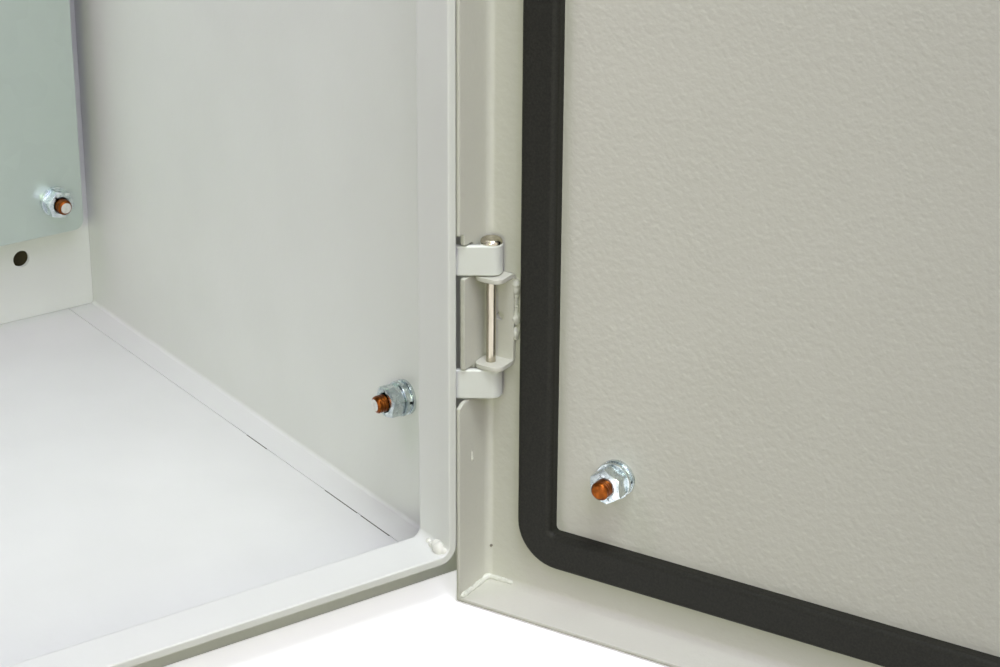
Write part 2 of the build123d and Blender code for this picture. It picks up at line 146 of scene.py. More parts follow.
def linear(code: str) -> tuple[float, float, float, float]:
    """Turn an sRGB hex colour into linear light.

    Args:
        code: Colour as six hex digits.

    Returns:
        Red, green, blue and an alpha of one.
    """
    parts = [int(code[i : i + 2], 16) / 255 for i in (0, 2, 4)]
    light = [p / 12.92 if p <= 0.04045 else ((p + 0.055) / 1.055) ** 2.4 for p in parts]
    return (light[0], light[1], light[2], 1.0)


def add_node(
    tree: bpy.types.NodeTree, kind: str, inputs: dict | None = None, **settings: object
) -> bpy.types.Node:
    """Add one node with its settings and links.

    Args:
        tree: Node tree that gets the node.
        kind: Type name of the node.
        inputs: Input name or number, to a value or to the output that feeds it.
        **settings: Properties of the node.

    Returns:
        The new node.
    """
    node = tree.nodes.new(kind)
    for name, value in settings.items():
        setattr(node, name, value)
    for key, value in (inputs or {}).items():
        if isinstance(value, bpy.types.NodeSocket):
            tree.links.new(value, node.inputs[key])
        else:
            node.inputs[key].default_value = value
    return node


def noise(
    tree: bpy.types.NodeTree, place: bpy.types.NodeSocket, grain: float, detail: float, rough: float
) -> bpy.types.NodeSocket:
    """Add a noise pattern.

    Args:
        tree: Tree of the material.
        place: Coordinates that it lies on, in metres.
        grain: Size of its grain in millimetres.
        detail: How many finer layers it has.
        rough: How strong those layers are.

    Returns:
        The output with its value.
    """
    inputs = {"Vector": place, "Scale": 1 / (grain * MM), "Detail": detail, "Roughness": rough}
    return add_node(tree, "ShaderNodeTexNoise", inputs).outputs["Fac"]


def ranged(
    tree: bpy.types.NodeTree,
    value: bpy.types.NodeSocket,
    given: tuple[float, float],
    wanted: tuple[float, float],
) -> bpy.types.NodeSocket:
    """Stretch one range of values to another, held at both ends.

    Args:
        tree: Tree of the material or the world.
        value: Output with the values.
        given: Lowest and highest value that counts.
        wanted: What these two turn into.

    Returns:
        The output with the new values.
    """
    inputs = {
        "Value": value,
        "From Min": given[0],
        "From Max": given[1],
        "To Min": wanted[0],
        "To Max": wanted[1],
    }
    return add_node(tree, "ShaderNodeMapRange", inputs).outputs[0]


def blended(
    tree: bpy.types.NodeTree, amount: bpy.types.NodeSocket, first: str, second: str
) -> bpy.types.NodeSocket:
    """Mix two sRGB colours.

    Args:
        tree: Tree of the material.
        amount: Share of the second colour.
        first: First colour as six hex digits.
        second: Second colour.

    Returns:
        The output with the colour.
    """
    inputs = {0: amount, 6: linear(first), 7: linear(second)}
    return add_node(tree, "ShaderNodeMix", inputs, data_type="RGBA").outputs[2]


def bumped(
    tree: bpy.types.NodeTree, height: bpy.types.NodeSocket, depth: float, strength: float = 1.0
) -> bpy.types.NodeSocket:
    """Turn heights into a bumpy surface.

    Args:
        tree: Tree of the material.
        height: Output with the heights.
        depth: What a height of one stands for, in millimetres.
        strength: Share of the effect.

    Returns:
        The output with the normal.
    """
    inputs = {"Height": height, "Strength": strength, "Distance": depth * MM}
    return add_node(tree, "ShaderNodeBump", inputs).outputs[0]


def emptied(owner: bpy.types.Material | bpy.types.World) -> bpy.types.NodeTree:
    """Give the node tree of a material or world, with nothing in it.

    Args:
        owner: The material or world.

    Returns:
        Its empty tree.
    """
    owner.use_nodes = True
    owner.node_tree.nodes.clear()
    return owner.node_tree


@dataclass(frozen=True)
class Finish:
    """A surface finish, with what every finish has."""

    name: str
    colour: str
    roughness: float = 0.5

    def start(self) -> tuple[bpy.types.Material, bpy.types.NodeTree, bpy.types.NodeSocket]:
        """Make an empty material.

        Returns:
            The material, its tree, and the output of its Object coordinates.
        """
        material = bpy.data.materials.new(self.name)
        tree = emptied(material)
        place = add_node(tree, "ShaderNodeTexCoord")
        return material, tree, place.outputs["Object"]

    def end(self, tree: bpy.types.NodeTree, **inputs: object) -> None:
        """Add the shader and the output.

        Args:
            tree: Tree of the material.
            **inputs: Inputs of the shader, with underscores for spaces.
        """
        named = {key.replace("_", " "): value for key, value in inputs.items()}
        shader = add_node(tree, "ShaderNodeBsdfPrincipled", named)
        add_node(tree, "ShaderNodeOutputMaterial", {"Surface": shader.outputs[0]})


@dataclass(frozen=True)
class PowderCoat(Finish):
    """Polyester powder coat, baked on: a semi-gloss skin with an orange-peel surface."""

    peel: float = 2.4
    finer: float = 2.6
    fine_share: float = 0.35
    relief: float = 0.05
    wave: float = 40.0
    shade: str = "B9BDB6"

    def build(self) -> bpy.types.Material:
        """Make the material.

        Returns:
            The finished material.
        """
        material, tree, place = self.start()
        # the powder flows into soft lumps a few millimetres wide, with finer ones on top
        soft = noise(tree, place, self.peel, 1.5, 0.45)
        fine = noise(tree, place, self.peel / self.finer, 1.0, 0.5)
        both = add_node(
            tree, "ShaderNodeMath", {0: fine, 1: self.fine_share, 2: soft}, operation="MULTIPLY_ADD"
        )
        # thickness of the coat drifts over a hand's width, which shifts its shade a little
        drift = noise(tree, place, self.wave, 2.0, 0.5)
        amount = ranged(tree, drift, (0.3, 0.75), (0.0, 0.15))
        self.end(
            tree,
            Base_Color=blended(tree, amount, self.colour, self.shade),
            Roughness=ranged(tree, drift, (0.3, 0.7), (self.roughness - 0.04, self.roughness + 0.05)),
            Normal=bumped(tree, both.outputs[0], self.relief),
            IOR=1.5,
        )
        return material


@dataclass(frozen=True)
class Plating(Finish):
    """Electroplated steel: a thin bright skin, clouded by handling and finely scratched."""

    cloud: str = "9FA6AB"
    grain: float = 0.25
    depth: float = 0.02
    patch: float = 3.0
    stretch: tuple[float, float, float] = (1.0, 1.0, 1.0)

    def build(self) -> bpy.types.Material:
        """Make the material.

        Returns:
            The finished material.
        """
        material, tree, place = self.start()
        laid = add_node(tree, "ShaderNodeMapping", {"Vector": place, "Scale": self.stretch}).outputs[0]
        cloud = noise(tree, laid, self.patch, 3.0, 0.6)
        scratch = noise(tree, laid, self.grain, 2.0, 0.6)
        amount = ranged(tree, cloud, (0.35, 0.7), (0.0, 1.0))
        self.end(
            tree,
            Base_Color=blended(tree, amount, self.colour, self.cloud),
            Metallic=1.0,
            Roughness=ranged(tree, cloud, (0.3, 0.7), (self.roughness, self.roughness + 0.12)),
            Normal=bumped(tree, scratch, self.depth, 0.35),
        )
        return material


@dataclass(frozen=True)
class ZincSheet(Finish):
    """Hot-dip galvanised sheet: dull zinc with faint crystal spangles."""

    spangle: float = 11.0
    crystal: str = "8C9690"

    def build(self) -> bpy.types.Material:
        """Make the material.

        Returns:
            The finished material.
        """
        material, tree, place = self.start()
        cells = add_node(
            tree, "ShaderNodeTexVoronoi", {"Vector": place, "Scale": 1 / (self.spangle * MM)}
        )
        grey = add_node(tree, "ShaderNodeRGBToBW", {0: cells.outputs["Color"]}).outputs[0]
        amount = ranged(tree, grey, (0.0, 1.0), (0.0, 0.05))
        self.end(
            tree,
            Base_Color=blended(tree, amount, self.colour, self.crystal),
            Metallic=0.7,
            Roughness=ranged(tree, grey, (0.0, 1.0), (self.roughness - 0.05, self.roughness + 0.06)),
        )
        return material


@dataclass(frozen=True)
class Foam(Finish):
    """Foamed or moulded rubber: dark, with a soft skin that shows fine pores."""

    pore: float = 0.7
    swell: float = 18.0
    swell_share: float = 3.0
    relief: float = 0.06
    shade: str = "26261F"

    def build(self) -> bpy.types.Material:
        """Make the material.

        Returns:
            The finished material.
        """
        material, tree, place = self.start()
        pores = noise(tree, place, self.pore, 3.0, 0.6)
        swell = noise(tree, place, self.swell, 1.0, 0.5)
        height = add_node(
            tree, "ShaderNodeMath", {0: swell, 1: self.swell_share, 2: pores}, operation="MULTIPLY_ADD"
        )
        # the pores are darker where the skin dips: painted shade in them
        amount = ranged(tree, pores, (0.35, 0.65), (0.0, 1.0))
        self.end(
            tree,
            Base_Color=blended(tree, amount, self.shade, self.colour),
            Roughness=self.roughness,
            Normal=bumped(tree, height.outputs[0], self.relief),
            Specular_IOR_Level=0.2,
        )
        return material


@dataclass(frozen=True)
class Dull(Finish):
    """Dull colour: bare metal darkened with painted shade at the bottom of a gap, or a speck of dirt in the
    paint.
    """

    grit: float = 0.8
    relief: float = 0.05

    def build(self) -> bpy.types.Material:
        """Make the material.

        Returns:
            The finished material.
        """
        material, tree, place = self.start()
        bump = bumped(tree, noise(tree, place, self.grit, 2.0, 0.5), self.relief)
        self.end(tree, Base_Color=linear(self.colour), Roughness=self.roughness, Normal=bump)
        return material


@dataclass
class Palette:
    """The finishes of this cabinet, made once."""

    def __post_init__(self) -> None:
        """Make every material."""
        self.body_paint = PowderCoat("powder_coat_body", "D7DAD5", 0.34, peel=3.0, relief=0.06).build()
        # the door gets a darker, warmer copy of the same paint, as painted shade for the dimmer light on
        # the door, with a coarser orange peel
        self.door_paint_shaded = PowderCoat(
            "powder_coat_door_painted_shade", "C9C9BF", 0.36, peel=2.4, relief=0.18, shade="BDBDB2"
        ).build()
        # the coat runs thick and smooth over weld metal
        self.weld_paint = PowderCoat(
            "powder_coat_on_welds", "D3D4CB", 0.22, peel=3.0, relief=0.02, shade="C9C9BF"
        ).build()
        self.zinc = Plating("zinc_plate", "DDE4E6", 0.2, cloud="A9B6B9").build()
        self.copper = Plating("copper_plate", "93501F", 0.28, cloud="5C300F", patch=1.6).build()
        self.bright = Plating(
            "drawn_bright_steel", "C4BDAE", 0.16, cloud="AAA38F", patch=2.0, stretch=(1.0, 1.0, 0.08)
        ).build()
        self.cast = Plating("satin_chrome_casting", "CFD1D0", 0.3, cloud="B8BBBA", patch=6.0).build()
        self.galvanised = ZincSheet("galvanised_sheet", "BCC8C1", 0.42).build()
        self.gasket = Foam("foamed_polyurethane", "262621", 0.55, shade="1A1A16").build()
        self.rubber = Foam("moulded_rubber", "2A2A2A", 0.6, pore=0.4, shade="1C1C1C").build()
        # pale end faces of the earth and plate studs: a painted highlight on their tips
        self.glinting_tip = Plating("stud_end_painted_highlight", "E6E6E2", 0.45, cloud="D2D0CA", patch=1.5).build()
        # dark strips down the open seam: painted shade on its bare metal
        self.gap = Dull("open_gap_painted_shade", "3A3931", 0.9).build()
        self.speck = Dull("speck_of_dirt", "7A766A", 0.7).build()
        self.by_slot = {
            Slot.PAINT.value: self.body_paint,
            Slot.ZINC.value: self.zinc,
            Slot.COPPER.value: self.copper,
            Slot.BRIGHT.value: self.bright,
            Slot.CAST.value: self.cast,
            Slot.GALVANISED.value: self.galvanised,
            Slot.GASKET.value: self.gasket,
            Slot.RUBBER.value: self.rubber,
        }


@dataclass
class Workshop:
    """The loaded frame and the palette, with the ways in which a piece is finished."""

    frame: dict
    palette: Palette
    skin_grain: float = 0.2
    skin_rounds: int = 6

    def node(self, name: str) -> bpy.types.Object:
        """Give a solid of the frame.

        Args:
            name: Its name.

        Returns:
            The solid.
        """
        return self.frame["nodes"][name]

    def dress(self, name: str, material: bpy.types.Material, edge: float = 0.0) -> None:
        """Give a solid of the frame its material, smooth shading and soft edges.

        Args:
            name: Node of the frame.
            material: Its finish.
            edge: Width of the rounding on sharp edges in millimetres, or zero for none.
        """
        solid = self.node(name)
        solid.data.materials.clear()
        solid.data.materials.append(material)
        solid.data.shade_smooth()
        weld = solid.modifiers.new("merged", "WELD")
        weld.merge_threshold = SAME
        if edge:
            soft = solid.modifiers.new("soft_edges", "BEVEL")
            soft.width = edge * MM
            soft.segments = 2
            soft.limit_method = "ANGLE"
            soft.angle_limit = math.radians(ROUNDED)
            soft.use_clamp_overlap = True
        split = solid.modifiers.new("crisp_edges", "EDGE_SPLIT")
        split.split_angle = math.radians(CRISP)
        # the large faces set the shading along their edges, so that sheet metal looks flat
        level = solid.modifiers.new("flat_faces", "WEIGHTED_NORMAL")
        level.mode = "FACE_AREA"
        level.weight = 100
        LOG.info("dressed %s in %s", name, material.name)

    def add(
        self,
        shape: bmesh.types.BMesh,
        name: str,
        material: bpy.types.Material,
        body: Body,
        slot: Slot,
        replaced: Sequence[str] = (),
        sharp: float = CRISP,
        fused: bool = False,
    ) -> bpy.types.Object:
        """Turn a finished shape into a piece that rides on a body.

        Args:
            shape: Mesh in the row frame, in metres. It is freed.
            name: Name of the piece.
            material: Its finish.
            body: Body that it rides on.
            slot: Slot of the record that its finish belongs to; not used.
            replaced: Nodes that the piece stands for.
            sharp: Angle in degrees above which an edge stays crisp.
            fused: Whether its lumps flow into one smooth skin, as weld metal does.

        Returns:
            The piece.
        """
        mesh = bpy.data.meshes.new(name)
        bmesh.ops.recalc_face_normals(shape, faces=shape.faces)
        shape.to_mesh(mesh)
        shape.free()
        mesh.materials.append(material)
        mesh.shade_smooth()
        mesh.set_sharp_from_angle(angle=math.radians(sharp))
        piece = bpy.data.objects.new(name, mesh)
        if fused:
            skin = piece.modifiers.new("one_skin", "REMESH")
            skin.mode = "VOXEL"
            skin.voxel_size = self.skin_grain * MM
            skin.use_smooth_shade = True
            flow = piece.modifiers.new("flow", "SMOOTH")
            flow.factor = 0.5
            flow.iterations = self.skin_rounds
        bpy.context.scene.collection.objects.link(piece)
        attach(piece, body.value)
        if replaced:
            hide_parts(*replaced)
        LOG.info("added %s on %s", name, body.value)
        return piece


def bridge_rings(shape: bmesh.types.BMesh, rings: Sequence[Sequence[Vector]]) -> None:
    """Join rings of points into one skin that closes on itself.

    Args:
        shape: Mesh that gets the skin.
        rings: Rings of as many points each, in metres. The last one joins the first.
    """
    loops = []
    for ring in rings:
        made = bmesh.ops.create_circle(shape, segments=len(ring), radius=1.0)["verts"]
        for vert, point in zip(made, ring):
            vert.co = point
        loops.append([e for e in {edge for v in made for edge in v.link_edges} if not e.link_faces])
    for first, second in zip(loops, loops[1:] + loops[:1]):
        bmesh.ops.bridge_loops(shape, edges=first + second)


def turned_ring(radius: float, height: float, count: int) -> list[Vector]:
    """Give a level ring of points.

    Args:
        radius: Its radius in millimetres.
        height: Its height in millimetres.
        count: How many points it has.

    Returns:
        The points, in metres.
    """
    steps = (2 * math.pi * i / count for i in range(count))
    return [Vector((radius * math.cos(a), radius * math.sin(a), height)) * MM for a in steps]


def seat(shape: bmesh.types.BMesh, origin: Vector, axis: Vector, twist: float = 0.0) -> None:
    """Stand a shape that was made along +Z on a point, along an axis.

    Args:
        shape: Mesh to place.
        origin: Point that its origin goes to, in metres.
        axis: Direction that its +Z goes to.
        twist: Turn about its own axis first, in degrees.
    """
    turn = axis.to_track_quat("Z", "Y").to_matrix().to_4x4()
    spin = Matrix.Rotation(math.radians(twist), 4, "Z")
    bmesh.ops.transform(shape, matrix=Matrix.Translation(origin) @ turn @ spin, verts=shape.verts)


@dataclass
class Fastener:
    """Coarse-threaded stud and its nut, in millimetres."""

    radius: float = 3.0
    pitch: float = 1.0
    flats: float = 10.0
    height: float = 5.0
    tip: float = 0.9
    crest: float = 0.16
    facets: int = 48
    crown_share: float = 0.96
    cone: float = 30.0
    play: float = 0.02
    countersink: float = 0.4

    def stud(self, length: float) -> bmesh.types.BMesh:
        """Model a stud along +Z from the origin, with a helical thread and a chamfered tip.

        Its end face gets the second material.

        Args:
            length: Its length.

        Returns:
            The mesh, in metres.
        """
        shape = bmesh.new()
        steps = self.facets // 2
        turns = math.ceil(length / self.pitch) + 2
        root = self.radius - self.crest
        line = []
        for turn in range(turns):
            low = (turn - 1.5) * self.pitch
            for share, radius in ((0.0, root), (0.2, root), (0.5, self.radius), (0.7, self.radius)):
                line.append(shape.verts.new(Vector((radius, 0, low + share * self.pitch)) * MM))
        edges = [shape.edges.new(pair) for pair in zip(line, line[1:])]
        bmesh.ops.spin(
            shape,
            geom=line + edges,
            cent=(0, 0, 0),
            axis=(0, 0, 1),
            dvec=(0, 0, self.pitch * MM / steps),
            angle=2 * math.pi,
            steps=steps,
            use_merge=False,
            use_duplicate=False,
        )
        bmesh.ops.remove_doubles(shape, verts=shape.verts, dist=CLOSE)
        for level, side in ((0.0, -1), (length, 1)):
            bmesh.ops.bisect_plane(
                shape,
                geom=list(shape.verts) + list(shape.edges) + list(shape.faces),
                plane_co=(0, 0, level * MM),
                plane_no=(0, 0, side),
                clear_outer=True,
            )
            rim = [e for e in shape.edges if e.is_boundary and abs(e.verts[0].co.z - level * MM) < SAME]
            bmesh.ops.holes_fill(shape, edges=rim, sides=0)
        for vert in shape.verts:
            past = vert.co.z / MM - (length - self.tip)
            across = math.hypot(vert.co.x, vert.co.y) / MM
            most = self.radius - past
            if past > 0 and across > most:
                vert.co.x *= most / across
                vert.co.y *= most / across
        for face in shape.faces:
            if length * MM - face.calc_center_median().z < CLOSE:
                face.material_index = 1
        return shape

    def nut(self) -> bmesh.types.BMesh:
        """Model a nut along +Z from the origin, its corners cut by a cone at both ends.

        Returns:
            The mesh, in metres.
        """
        apothem = self.flats / 2
        crown = self.crown_share * apothem
        bore = self.radius + self.play
        mouth = bore + self.countersink
        slope = math.tan(math.radians(self.cone))

        def outline(level: float, drop: int) -> list[Vector]:
            """Give the hexagon's ring, bent by the cone.

            Args:
                level: Height of the flat face, in millimetres.
                drop: Which way the cone bends the corners: 1 up, -1 down.

            Returns:
                The ring's points, in metres.
            """
            ring = []
            for i in range(self.facets):
                angle = 2 * math.pi * i / self.facets
                inside = (angle + math.pi / 6) % (math.pi / 3) - math.pi / 6
                radius = apothem / math.cos(math.pi / 6 - abs(inside))
                z = level + drop * max(radius - crown, 0.0) * slope
                ring.append(Vector((radius * math.cos(angle), radius * math.sin(angle), z)) * MM)
            return ring

        shape = bmesh.new()
        top = self.height
        rings = [
            turned_ring(bore, top - self.countersink, self.facets),
            turned_ring(mouth, top, self.facets),
            turned_ring(crown, top, self.facets),
            outline(top, -1),
            outline(0.0, 1),
            turned_ring(crown, 0.0, self.facets),
            turned_ring(mouth, 0.0, self.facets),
            turned_ring(bore, self.countersink, self.facets),
        ]
        bridge_rings(shape, rings)
        return shape


def joined(shapes: Iterable[bmesh.types.BMesh]) -> bmesh.types.BMesh:
    """Put several meshes into one, and free them.

    Args:
        shapes: The meshes.

    Returns:
        One mesh with all of them.
    """
    whole = bmesh.new()
    for shape in shapes:
        mesh = bpy.data.meshes.new("part")
        shape.to_mesh(mesh)
        shape.free()
        whole.from_mesh(mesh)
        bpy.data.meshes.remove(mesh)
    return whole


def lumps(
    points: Sequence[tuple[float, float, float]], radii: Sequence[float], seed: int
) -> bmesh.types.BMesh:
    """Model run-together lumps, as of weld metal under paint.

    Args:
        points: Middles of the lumps, in millimetres.
        radii: Their radii in millimetres.
        seed: Seed of their unevenness.

    Returns:
        The mesh, in metres.
    """
    chance = random.Random(seed)
    shape = bmesh.new()
    for point, radius in zip(points, radii):
        made = bmesh.ops.create_icosphere(shape, subdivisions=3, radius=radius * MM)["verts"]
        squash = [1 + LUMP_SQUASH * (chance.random() - 0.5) for _ in range(3)]
        ways = [Vector([chance.gauss(0, 1) for _ in range(3)]) for _ in range(4)]
        waves = [(way, chance.random() * 6) for way in ways]
        for vert in made:
            out = vert.co.normalized()
            swing = (math.sin(LUMP_STEEPNESS * out.dot(way) + start) for way, start in waves)
            swell = 1 + LUMP_WAVE * sum(swing)
            for k in range(3):
                vert.co[k] *= squash[k] * swell
            vert.co += Vector(point) * MM
    return shape


def bead(
    start: tuple[float, float, float],
    end: tuple[float, float, float],
    radius: float,
    seed: int,
) -> bmesh.types.BMesh:
    """Model a weld bead as a row of lumps from one point to another, in millimetres.

    Args:
        start: First end.
        end: Other end.
        radius: Mean radius of the bead.
        seed: Seed of its unevenness.

    Returns:
        The mesh, in metres.
    """
    chance = random.Random(seed)
    first, last = Vector(start), Vector(end)
    count = max(2, round((last - first).length / (0.8 * radius)))
    points = [first.lerp(last, i / count) for i in range(count + 1)]
    radii = [radius * (0.9 + 0.2 * chance.random()) for _ in points]
    return lumps([tuple(point) for point in points], radii, seed)


@dataclass
class DoorSwing:
    """Turn that takes a place on the closed door to the open one, about the hinge in degrees."""

    hinge: Vector
    opened: float = 113.0

    def matrix(self) -> Matrix:
        """Give the turn about the hinge pins.

        Returns:
            The turn as a matrix.
        """
        there = Matrix.Translation(self.hinge)
        return there @ Matrix.Rotation(math.radians(self.opened), 4, "Z") @ there.inverted()

    def open(self, shape: bmesh.types.BMesh) -> bmesh.types.BMesh:
        """Turn a mesh that was made on the closed door.

        Args:
            shape: The mesh, in metres.

        Returns:
            The same mesh, on the open door.
        """
        bmesh.ops.transform(shape, matrix=self.matrix(), verts=shape.verts)
        return shape


@dataclass
class PaintedDetails:
    """Welds under the paint, and the small faults of the paint, in millimetres."""

    swing: DoorSwing
    width: float = 500.0
    height: float = 600.0
    lip_x: float = 228.0
    lip_z: float = 18.5
    lip_front: float = -155.35
    door_inner: float = -160.15
    flange_edge: float = -143.55
    flange_x: float = 248.5
    flange_z: float = 1.8
    bend: float = 2.5
    bracket_edge: float = 238.4
    hinge_height: float = 95.6
    sunk: float = 0.35
    lip_sunk: float = 0.5
    run_out: float = 9.0
    seam_x: float = 237.0
    seam_width: float = 0.5
    seam_depth: float = 0.1
    seam_top: float = 1.35
    run_y: float = -150.7
    run_z: float = 51.0
    run_step: float = 0.6
    speck_x: float = 246.95
    speck_z: float = 13.9

    def lip_corners(self, shop: Workshop) -> None:
        """Lay the welds in the four inner corners of the lip.

        Args:
            shop: Workshop that finishes the pieces.
        """
        middle = self.height / 2
        shapes = []
        for side in (1, -1):
            for end in (1, -1):
                seed = 11 + 2 * side + end
                x = side * (self.lip_x - self.lip_sunk)
                z = middle - end * (middle - self.lip_z - self.lip_sunk)
                points = [
                    (x - inward * side, self.lip_front + back, z + rise * end)
                    for inward, back, rise, _ in LIP_SPOTS
                ]
                shapes.append(lumps(points, [spot[3] for spot in LIP_SPOTS], seed))
        paint = shop.palette.weld_paint
        shop.add(joined(shapes), "lip_corner_welds", paint, Body.CABINET, Slot.PAINT, fused=True)

    def door_corners(self, shop: Workshop) -> None:
        """Lay the welds down the four corners of the door tray, with a run along the end fold.

        Args:
            shop: Workshop that finishes the pieces.
        """
        middle = self.height / 2
        shapes = []
        for side in (1, -1):
            for end in (1, -1):
                seed = 31 + 2 * side + end
                x = side * (self.flange_x - self.sunk)
                z = middle - end * (middle - self.flange_z - self.sunk)
                top = (x, self.flange_edge - 1.0, z)
                bent = (x, self.door_inner + self.bend, z)
                fold = (x - 0.7 * side, self.door_inner + 0.7, z + 0.7 * end)
                along = (x - self.run_out * side, self.door_inner + 0.4, z + 0.5 * end)
                shapes.append(bead(bent, top, 0.95, seed))
                shapes.append(bead(bent, fold, 1.0, seed + 25))
                shapes.append(bead(fold, along, 0.8, seed + 50))
        shape = self.swing.open(joined(shapes))
        shop.add(shape, "door_corner_welds", shop.palette.weld_paint, Body.DOOR, Slot.PAINT, fused=True)

    def bracket_welds(self, shop: Workshop) -> None:
        """Lay the weld spots along the hinge brackets.

        Args:
            shop: Workshop that finishes the pieces.
        """
        shapes = []
        for turn, level in enumerate((self.hinge_height, self.height - self.hinge_height)):
            x, y = self.bracket_edge - self.sunk, self.door_inner + self.sunk
            points = [(x, y, level + rise) for rise, _ in BRACKET_SPOTS]
            shapes.append(lumps(points, [radius for _, radius in BRACKET_SPOTS], 71 + turn))
        shape = self.swing.open(joined(shapes))
        shop.add(shape, "bracket_welds", shop.palette.weld_paint, Body.DOOR, Slot.PAINT, fused=True)

    def seam_gaps(self, shop: Workshop) -> None:
        """Lay dark strips in some stretches of the floor seam, where no sealant fills the groove: painted
        shade in the open seam.

        Args:
            shop: Workshop that finishes the pieces.
        """
        shape = bmesh.new()
        for start, end in OPEN_SEAM:
            made = bmesh.ops.create_cube(shape, size=1.0)["verts"]
            size = Vector((self.seam_width, end - start, self.seam_depth)) * MM
            bmesh.ops.scale(shape, vec=size, verts=made)
            middle = Vector((self.seam_x, (start + end) / 2, self.seam_top)) * MM
            bmesh.ops.translate(shape, vec=middle, verts=made)
        shop.add(shape, "open_seam", shop.palette.gap, Body.CABINET, Slot.PAINT)

    def paint_faults(self, shop: Workshop) -> None:
        """Add the run of paint on the flange and the speck in the fold beneath it.

        Args:
            shop: Workshop that finishes the pieces.
        """
        drops = [(self.flange_x, self.run_y, self.run_z - self.run_step * i) for i in range(6)]
        run = lumps(drops, (0.3, 0.35, 0.4, 0.5, 0.62, 0.45), 91)
        speck = lumps([(self.speck_x, self.door_inner + 0.1, self.speck_z)], (0.5,), 92)
        for shape, name, paint in (
            (run, "paint_run", shop.palette.door_paint_shaded),
            (speck, "paint_speck", shop.palette.speck),
        ):
            shop.add(self.swing.open(shape), name, paint, Body.DOOR, Slot.PAINT, sharp=180)

    def build(self, shop: Workshop) -> None:
        """Add every painted detail.

        Args:
            shop: Workshop that finishes the pieces.
        """
        self.lip_corners(shop)
        self.door_corners(shop)
        self.bracket_welds(shop)
        self.seam_gaps(shop)
        self.paint_faults(shop)


@dataclass
class FastenerSet:
    """Studs or nuts that repeat in a grid, placed by the box of the solids they stand for."""

    node: str
    fastener: Fastener
    count: tuple[int, int, int]
    axis: Vector
    body: Body

    def places(self, half_x: float, half_other: float) -> list[Vector]:
        """Find the foot of each piece, from the box of all of them.

        Args:
            half_x: Half the width of one piece along X, in millimetres.
            half_other: Half its width along the other way across its axis.

        Returns:
            The feet, in metres.
        """
        low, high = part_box(self.node)
        lines = []
        for k, count in enumerate(self.count):
            along = self.axis[k]
            if along:
                lines.append([low[k] if along > 0 else high[k]])
                continue
            half = (half_other if k else half_x) * MM
            first, last = low[k] + half, high[k] - half
            lines.append([first + (last - first) * i / (count - 1) for i in range(count)])
        return [Vector((x, y, z)) for x in lines[0] for y in lines[1] for z in lines[2]]

    def length(self) -> float:
        """Measure one piece along its axis.

        Returns:
            Its length in millimetres.
        """
        low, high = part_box(self.node)
        return abs((high - low).dot(self.axis)) / MM

    def studs(
        self, shop: Workshop, material: bpy.types.Material, slot: Slot, tips: bpy.types.Material
    ) -> None:
        """Model the studs, with tips of a second finish.

        Args:
            shop: Workshop that finishes the pieces.
            material: Finish of the thread.
            slot: Slot of the record that the finish belongs to.
            tips: Finish of the end faces.
        """
        shapes = []
        for place in self.places(self.fastener.radius, self.fastener.radius):
            stud = self.fastener.stud(self.length())
            seat(stud, place, self.axis)
            shapes.append(stud)
        piece = shop.add(joined(shapes), f"{self.node}_threaded", material, self.body, slot, (self.node,))
        piece.data.materials.append(tips)

    def nuts(self, shop: Workshop, material: bpy.types.Material, slot: Slot) -> None:
        """Model the nuts, each turned a little differently.

        Args:
            shop: Workshop that finishes the pieces.
            material: Their finish.
            slot: Slot of the record that the finish belongs to.
        """
        chance = random.Random(self.node)
        apothem = self.fastener.flats / 2
        shapes = []
        corner = apothem / math.cos(math.radians(30))
        for place in self.places(corner, apothem):
            nut = self.fastener.nut()
            seat(nut, place, self.axis, chance.uniform(0, 60))
            shapes.append(nut)
        shop.add(joined(shapes), f"{self.node}_chamfered", material, self.body, slot, (self.node,))


@dataclass
class EarthPoint:
    """One welded earth stud with its washers and nut."""

    owner: str
    body: Body
    fastener: Fastener
    twist: float
    tip_finish: bpy.types.Material

    def build(self, shop: Workshop) -> None:
        """Model the stud and the nut.

        Args:
            shop: Workshop that finishes the pieces.
        """
        low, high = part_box(f"{self.owner}_earth_stud")
        nut_low, nut_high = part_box(f"{self.owner}_earth_nut")
        axis = self.axis(shop)
        middle = (low + high) / 2
        nut_middle = (nut_low + nut_high) / 2
        length = self.length(shop, axis)
        stud = self.fastener.stud(length)
        seat(stud, middle - axis * length * MM / 2, axis)
        piece = shop.add(
            stud,
            f"{self.owner}_earth_thread",
            shop.palette.copper,
            self.body,
            Slot.COPPER,
            (f"{self.owner}_earth_stud",),
        )
        piece.data.materials.append(self.tip_finish)
        nut = self.fastener.nut()
        seat(nut, nut_middle - axis * self.fastener.height * MM / 2, axis, self.twist)
        shop.add(
            nut,
            f"{self.owner}_earth_hexagon",
            shop.palette.zinc,
            self.body,
            Slot.ZINC,
            (f"{self.owner}_earth_nut",),
        )

    def axis(self, shop: Workshop) -> Vector:
        """Give the direction in which the stud points.

        Args:
            shop: Workshop with the loaded frame.

        Returns:
            The direction, of length one.
        """
        if self.body is Body.CABINET:
            return Vector((-1, 0, 0))
        # the locks turn square to the door, as its stud stands
        lock = next(j for j in shop.frame["joints"] if j["name"] == "lock_lower_turn")
        return Vector(lock["axis"]).normalized()

    def length(self, shop: Workshop, axis: Vector) -> float:
        """Measure the stud's solid along its axis.

        Args:
            shop: Workshop with the loaded frame.
            axis: Direction in which the stud points.

        Returns:
            Its length in millimetres.
        """
        reach = [v.co.dot(axis) for v in shop.node(f"{self.owner}_earth_stud").data.vertices]
        return (max(reach) - min(reach)) / MM


